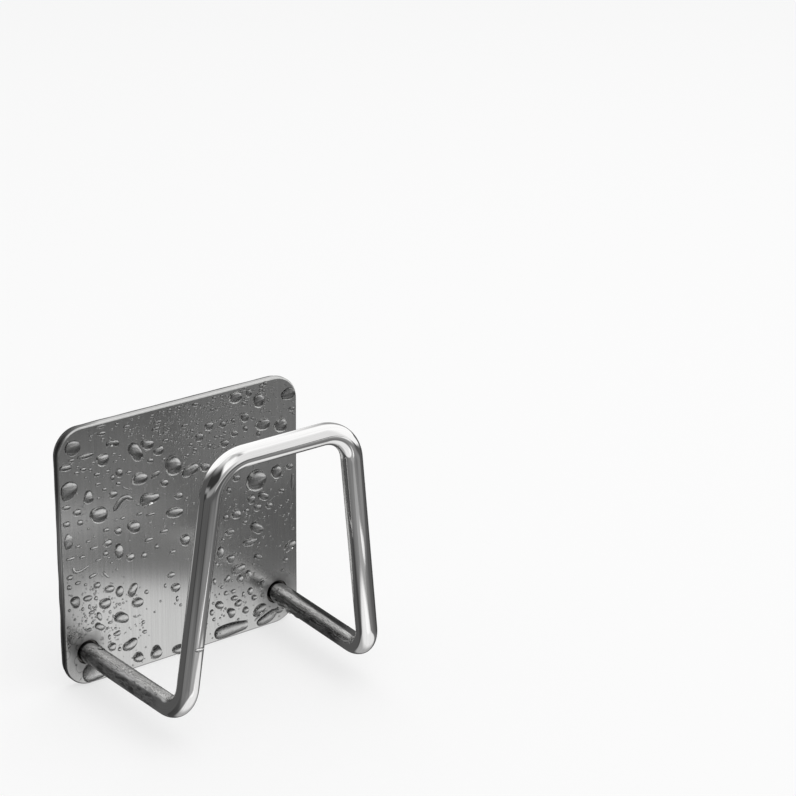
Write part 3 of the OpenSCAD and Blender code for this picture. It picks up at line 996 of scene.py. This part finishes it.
def domes(x, z, edge_x, edge_z, tall, rings, sag):
    """Domes over outlines, all as one grid: drop, ring and direction.

    Ring by ring an outline closes over a quarter of an oval, upright at the rim and flat at
    the middle, while its middle moves down, so that the lower side is steeper. The base is
    a flat lid just inside the metal.
    """
    share = ring_shares(rings)
    rise = np.sqrt(np.clip(1 - share ** 2, 0, 1)) * (np.arange(rings + 3) > 1)[None, :, None] * tall
    rise = rise - np.where(np.arange(rings + 3) < 2, water_in, 0)[None, :, None]
    points = np.stack(np.broadcast_arrays(
        (x + share * edge_x) * mm,
        face_y - rise * mm,
        (z + share * edge_z - sag * (1 - share ** 2)) * mm,
    ), -1)
    return drop_faces(points)


def outlined_drops(rows, sides, rings, fullness, sag):
    """Drops whose outline follows its eight half widths: the sum of a mean and three
    cosines round the drop. Towards the top the cosines fade, the quickest first, as a
    stretched skin evens out."""
    rows = np.array(rows, float)
    waves = np.fft.rfft(rows[:, 2:], axis=1) / 8 * np.array([1, 2, 2, 1.2, 0])
    k = np.arange(5)[:, None]
    a = np.arange(sides) / sides * 2 * math.pi
    turns = np.exp(1j * k * a) * ring_shares(rings)[0, :, None] ** k
    edge = np.einsum("ik,jkl->ijl", waves, turns).real
    half = (rows[:, 2:6] + rows[:, 6:]).min(1)[:, None, None] / 2
    x, z = rows[:, 0, None, None], rows[:, 1, None, None]
    return domes(x, z, edge * np.cos(a), edge * np.sin(a), fullness * half, rings, sag * half)


def standing_drops(rows, sides, rings, fullness, sag, seed):
    """Drops whose outline is an oval, its radius wavering by three cosines."""
    rows = np.array(rows, float)
    x, z, w, h, turn_deg = [c[:, None, None] for c in rows.T]
    rng = np.random.default_rng(seed)
    a = (np.arange(sides) / sides * 2 * math.pi)[None, None]
    size = 1.0
    for k, share in ((2, 0.07), (3, 0.06), (5, 0.03)):
        amount = rng.uniform(-share, share, x.shape)
        size = size + amount * np.cos(k * a + rng.uniform(0, 6.28, x.shape))
    wide = size * w * np.cos(a)
    high = size * h * np.sin(a)
    c = np.cos(np.radians(turn_deg))
    s = np.sin(np.radians(turn_deg))
    tall = fullness * np.minimum(w, h)
    return domes(x, z, wide * c - high * s, wide * s + high * c, tall, rings, sag * h)


def drawn_drops(rows, stations, fullness):
    """Drops that have run together or are drawn out along a curve.

    The curve is the parabola through three points, and the half width changes along it in
    the same way. Past both ends the width closes in a half circle. The section is half an
    oval that stands on the plate.
    """
    rows = np.array(rows, float)[:, :, None]
    x0, z0, x1, z1, x2, z2, r0, r1, r2 = [rows[:, i] for i in range(9)]

    def along(t, first, middle, last):
        return first * (1 - t) * (1 - 2 * t) + middle * 4 * t * (1 - t) + last * t * (2 * t - 1)

    length = np.hypot(x1 - x0, z1 - z0) + np.hypot(x2 - x1, z2 - z1)
    turned = np.linspace(0, math.pi, stations)[None]
    s = (length + r2 - r0) / 2 - np.cos(turned) * (length + r2 + r0) / 2
    t = np.clip(s / length, 0, 1)
    step = 1e-3
    heading = np.stack([along(t + step, x0, x1, x2) - along(t - step, x0, x1, x2),
                        along(t + step, z0, z1, z2) - along(t - step, z0, z1, z2)], -1)
    heading /= np.linalg.norm(heading, axis=-1)[..., None]
    past = np.where(s < 0, s, np.maximum(s - length, 0))
    middle = np.stack([along(t, x0, x1, x2), along(t, z0, z1, z2)], -1) + heading * past[..., None]
    end_r = np.where(s < 0, r0, r2)
    half_w = along(t, r0, r1, r2) * np.sqrt(np.clip(1 - (past / end_r) ** 2, 0, 1))
    a = np.linspace(0, math.pi, 11)
    across = np.concatenate([np.cos(a), [-1, 1]])
    up = np.concatenate([np.sin(a), [0, 0]])
    lid = np.concatenate([np.zeros(11), [water_in, water_in]])
    side = np.stack([-heading[..., 1], heading[..., 0]], -1)
    flat = middle[:, :, None] + side[:, :, None] * (half_w[..., None] * across)[..., None]
    rise = half_w[..., None] * up * fullness - lid * (half_w[..., None] > 1e-6)
    points = np.stack([flat[..., 0] * mm, face_y - rise * mm, flat[..., 1] * mm], -1)
    points, faces, chart = drop_faces(points)
    return points, faces[:, ::-1], chart[:, ::-1]


# Three points of the curve, across and up each, then the half width at each
drawn_out = [
    (-4.5, 26.6, -3.3, 27.3, -2, 27.5, .3, .3, .25),
    (-31.5, -18.6, -30.6, -18, -29.5, -18, .2, .25, .2),
    (-15.9, 14.9, -14.8, 14.1, -13.4, 13.7, .2, .25, .2),
    (-18.2, 10, -16, 12.1, -14, 11.5, .6, .75, .5),
    (-28.8, -18.5, -28.5, -19.4, -27.5, -19.8, .2, .25, .2),
    (-29.6, -1.7, -28.6, -2.9, -25.8, -2.2, .35, .4, .3),
    (-21.7, -5, -21.2, -5.7, -20.6, -6.4, .3, .3, .3),
    (-31.5, -17.8, -30.9, -17.3, -30, -17, .2, .25, .2),
    (-14.2, -18.3, -13.4, -18.7, -12.5, -18.4, .15, .2, .15),
    (20, -29.6, 21.7, -28.6, 23.5, -28, .2, .3, .2),
]
sausages = [(9.8, -29.9, 12.9, -29.8, 16.6, -29.9, 1.7, 1.75, 1.3)]


def mist(count, seed, least, most, power):
    """Places for specks: more where the photo has more, and none inside a drop.

    Trial places are drawn evenly over the plate and kept by the odds of their region, to
    the given power. The half widths lie between the least and the most.
    """
    rng = np.random.default_rng(seed)
    x = rng.uniform(-31.6, 31.6, count)
    z = rng.uniform(-31, 31.2, count)
    odds = np.full(count, 0.26)
    for share, left, right, low, high in (
        (0.80, -32, -18, -24, -8), (0.85, -14, 32, 22, 32), (1.0, -1, 15, 15, 32),
        (0.03, -12, 1, -32, -10), (0.08, -14, 8, -12, 2),
    ):
        odds[(x > left) & (x < right) & (z > low) & (z < high)] = share
    keep = rng.uniform(size=count) < odds ** power
    taken = np.array([r[:4] for r in large_drops + low_drops + shaped_drops + small_drops])
    gap = 0.25
    off_x = (x[:, None] - taken[:, 0]) / (taken[:, 2] + gap)
    off_z = (z[:, None] - taken[:, 1]) / (taken[:, 3] + gap)
    keep &= np.hypot(off_x, off_z).min(1) > 1
    # None stands on a foot of the wire or past the plate's round corners
    keep &= np.hypot(abs(x) - foot_x / mm, z - leg_z / mm) > 3.6
    corner = np.hypot(np.maximum(abs(x) - 26, 0), np.maximum(abs(z) - 25.5, 0))
    keep &= corner < 5.6
    size = rng.uniform(least, most, count)
    flat = rng.uniform(0.75, 1.15, count)
    rows = np.stack([x, z, size, size * flat, rng.uniform(-40, 40, count)], 1)
    return rows[keep]


def clinging_drops(rows, sides, rings):
    """Drops that cling to the wire.

    The outline is an oval on the wire's skin, in millimetres along it and round it, and
    the height over the skin is that of an oval dome.
    """
    run = np.array([r[0] for r in rows], float)[:, None, None] * mm
    facing = np.array([r[1] for r in rows], float)
    half_l, half_w, tall = [np.array([r[i] for r in rows], float)[:, None, None] for i in (2, 3, 4)]

    def at(table, s):
        return np.stack([np.interp(s, wire_run, table[:, i]) for i in range(3)], -1)

    spoke = at(wire_spoke, run[:, 0, 0])
    across = at(wire_across, run[:, 0, 0])
    start = np.arctan2((facing * across).sum(1), (facing * spoke).sum(1))[:, None, None]
    a = (np.arange(sides) / sides * 2 * math.pi)[None, None]
    share = ring_shares(rings)
    t = np.linspace(0, math.pi / 2, rings + 1)
    rise = np.concatenate([[0, 0], np.sin(t)])[None, :, None] * tall
    rise = rise - np.where(np.arange(rings + 3) < 2, 0.12, 0.02)[None, :, None]
    s = run + share * half_l * mm * np.cos(a)
    turned = start + share * half_w * mm / wire_r * np.sin(a)
    ray = np.cos(turned)[..., None] * at(wire_spoke, s) + np.sin(turned)[..., None] * at(wire_across, s)
    points = at(wire_line, s) + ray * (wire_r + rise * mm)[..., None]
    return drop_faces(points)


leg_end = wire_length / mm
# Along the wire in millimetres, the way it faces, half length, half width and height
on_wire = [
    (54.3, (0.1, -1, 0), 0.6, 1.3, 0.25), (leg_end - 4.5, (-0.2, 0, -1), 1.3, 1.2, 0.7),
    (leg_end - 8.2, (-0.4, 0, -1), 1.0, 0.9, 0.5), (leg_end - 11.5, (-0.3, 0, -1), 1.2, 0.8, 0.35),
    (6.0, (0.3, 0, 1), 0.8, 0.9, 0.35), (12.5, (0.2, 0, -1), 1.2, 0.9, 0.4),
    (3.4, (1, 0, 0.6), 0.7, 0.8, 0.3),
]
rng = np.random.default_rng(21)
for k in range(16):
    from_plate = rng.uniform(3.5, 31)
    along_wire = from_plate if k % 2 else leg_end - from_plate
    lean = rng.uniform(-1.3, 1.6)
    half_w = rng.uniform(0.18, 0.40)
    half_l = half_w * rng.uniform(1.0, 1.7)
    on_wire.append((along_wire, (lean, 0, 1), half_l, half_w, half_w * 0.35))

unturned = [row + (0,) for row in small_drops]
water_pieces = [
    ("large_drops", standing_drops(large_drops, 28, 7, 0.62, 0.20, 11)),
    ("shaped_drops", outlined_drops(shaped_drops, 40, 7, 0.62, 0.20)),
    ("low_sausage", drawn_drops(sausages, 40, 0.30)),
    ("low_drops", standing_drops(low_drops, 40, 8, 0.28, 0.10, 12)),
    ("small_drops", standing_drops(unturned, 14, 3, 0.60, 0.22, 13)),
    ("drawn_out_drops", drawn_drops(drawn_out, 26, 0.55)),
    ("mist_specks", standing_drops(mist(4200, 14, 0.12, 0.26, 1), 8, 2, 0.70, 0.15, 15)),
    ("spray_specks", standing_drops(mist(1500, 18, 0.26, 0.44, 2), 10, 3, 0.65, 0.20, 16)),
    ("drops_on_wire", clinging_drops(on_wire, 16, 4)),
]
for name, patch in water_pieces:
    make_piece(name, [patch], water)
